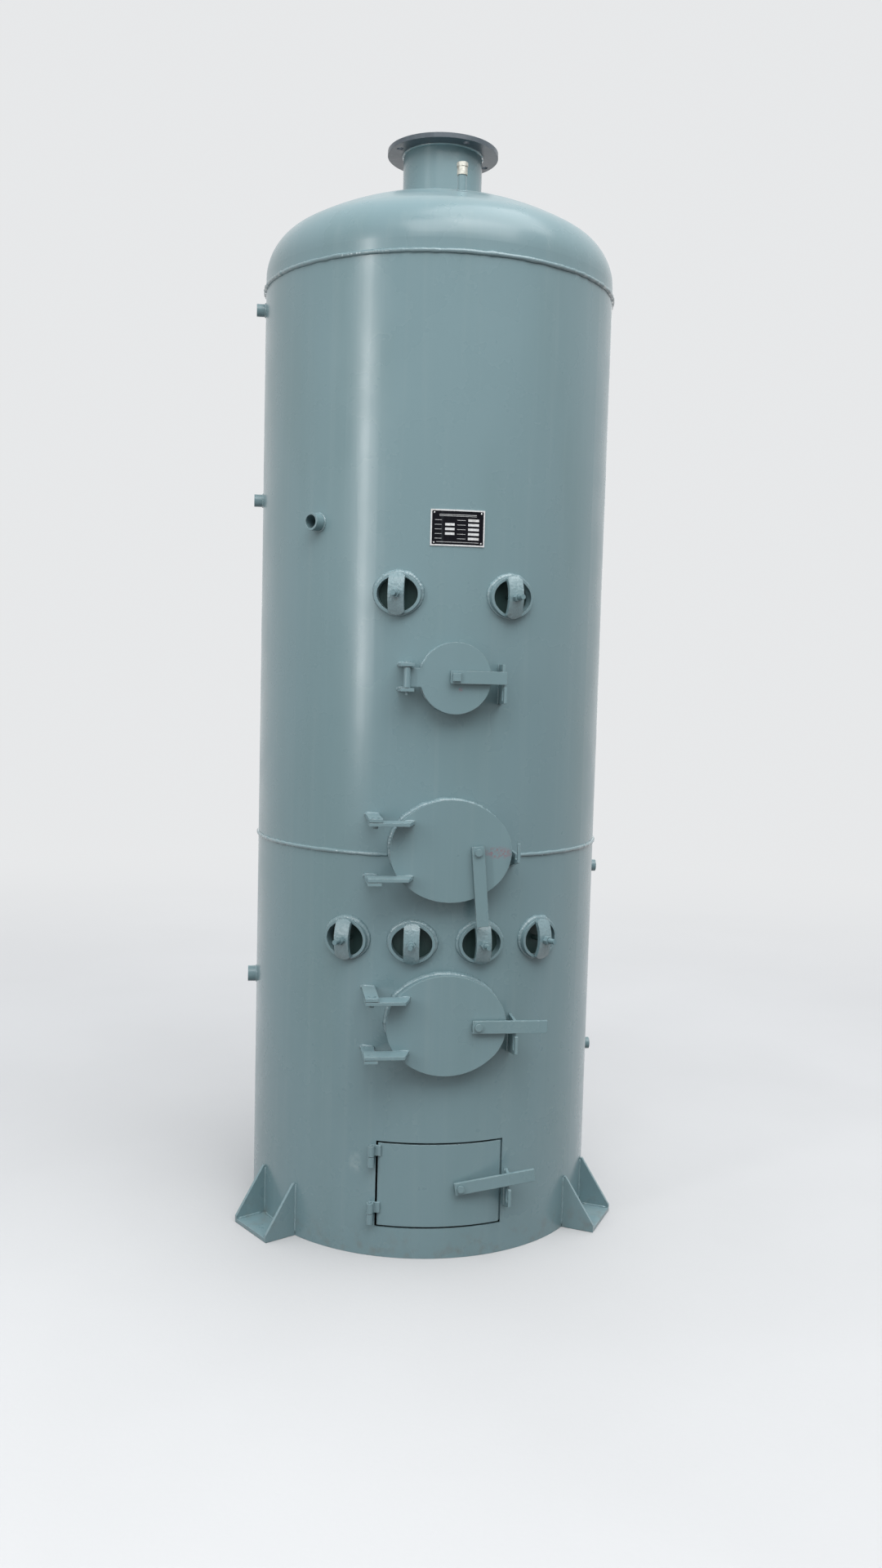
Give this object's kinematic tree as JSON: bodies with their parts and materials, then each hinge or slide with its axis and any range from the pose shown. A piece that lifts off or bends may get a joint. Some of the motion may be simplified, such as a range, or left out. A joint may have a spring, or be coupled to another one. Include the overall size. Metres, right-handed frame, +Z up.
{
  "type": "industrial boiler",
  "caption": "Tall vertical steel hot-water boiler with a dished head, flanged chimney neck, hinged fire, flue and ash doors with latch bars, handholes and pipe sockets.",
  "frame": {"origin": "centre of the round foot of the shell, on the floor", "axes": "+Z up along the shell axis; the front with its doors faces -Y; +X is the latch side of the doors"},
  "size_m": [0.9926, 1.066, 2.769],
  "materials": {
    "green_paint": "gloss grey-green enamel over rolled steel plate",
    "dark_paint": "dull grey-green paint with grime",
    "zinc": "zinc plated steel, dulled",
    "label_plate": "black enamelled plate with bare edges",
    "sooted_steel": "bare mill steel, matt",
    "grate_iron": "rough casting"
  },
  "bodies": {
    "boiler": {"lower_shell_front": "green_paint", "lower_shell_left": "green_paint", "lower_shell_right": "green_paint", "upper_shell_front": "green_paint", "upper_shell_left": "green_paint", "upper_shell_right": "green_paint", "top_head": "green_paint", "chimney_neck": "green_paint", "chimney_flange": "dark_paint", "vent_nipple": "zinc", "vent_cap": "zinc", "floor_plate": "sooted_steel", "feet": "green_paint", "sockets": "green_paint", "nameplate": "label_plate", "handhole_rings": "green_paint", "handhole_covers": "dark_paint", "handhole_yokes": "green_paint", "handhole_nuts": "green_paint", "flue_door_ring": "green_paint", "upper_fire_door_ring": "green_paint", "lower_fire_door_ring": "green_paint", "ash_door_stop": "green_paint", "flue_door_lugs": "green_paint", "upper_fire_door_lugs": "green_paint", "lower_fire_door_lugs": "green_paint", "ash_door_hinges": "green_paint", "door_keepers": "green_paint", "furnace_front": "sooted_steel", "furnace_left": "sooted_steel", "furnace_right": "sooted_steel", "furnace_crown": "sooted_steel", "flue_tube": "sooted_steel", "water_grate_tubes": "sooted_steel", "fire_grate": "grate_iron", "grate_ledge": "sooted_steel", "jacket_base_ring": "sooted_steel"},
    "flue_door_leaf": {"flue_door": "green_paint"},
    "upper_fire_door_leaf": {"upper_fire_door": "green_paint"},
    "lower_fire_door_leaf": {"lower_fire_door": "green_paint"},
    "ash_door_leaf": {"ash_door": "green_paint"},
    "flue_latch_bar": {"flue_door_latch": "green_paint"},
    "upper_fire_latch_bar": {"upper_fire_door_latch": "green_paint"},
    "lower_fire_latch_bar": {"lower_fire_door_latch": "green_paint"},
    "ash_latch_bar": {"ash_door_latch": "green_paint"}
  },
  "joints": [
    {"name": "flue_door_hinge", "type": "hinge", "parent": "boiler", "child": "flue_door_leaf", "pos_m": [-0.115, -0.495, 1.418], "axis": [0, 0, -1], "range_deg": [0, 110]},
    {"name": "upper_fire_door_hinge", "type": "hinge", "parent": "boiler", "child": "upper_fire_door_leaf", "pos_m": [-0.183, -0.52, 1.011], "axis": [0, 0, -1], "range_deg": [0, 110]},
    {"name": "lower_fire_door_hinge", "type": "hinge", "parent": "boiler", "child": "lower_fire_door_leaf", "pos_m": [-0.183, -0.52, 0.591], "axis": [0, 0, -1], "range_deg": [0, 110]},
    {"name": "ash_door_hinge", "type": "hinge", "parent": "boiler", "child": "ash_door_leaf", "pos_m": [-0.16892, -0.43162, 0.183], "axis": [0, 0, -1], "range_deg": [0, 110]},
    {"name": "flue_latch_turn", "type": "hinge", "parent": "flue_door_leaf", "child": "flue_latch_bar", "pos_m": [0, -0.498, 1.421], "axis": [0, -1, 0], "range_deg": [-15, 90]},
    {"name": "upper_fire_latch_turn", "type": "hinge", "parent": "upper_fire_door_leaf", "child": "upper_fire_latch_bar", "pos_m": [0.063, -0.498, 1.011], "axis": [0, -1, 0], "range_deg": [-50, 40]},
    {"name": "lower_fire_latch_turn", "type": "hinge", "parent": "lower_fire_door_leaf", "child": "lower_fire_latch_bar", "pos_m": [0.075, -0.498, 0.591], "axis": [0, -1, 0], "range_deg": [-20, 45]},
    {"name": "ash_latch_turn", "type": "hinge", "parent": "ash_door_leaf", "child": "ash_latch_bar", "pos_m": [0.049, -0.459, 0.1795], "axis": [0, -1, 0], "range_deg": [-15, 75]}
  ]
}
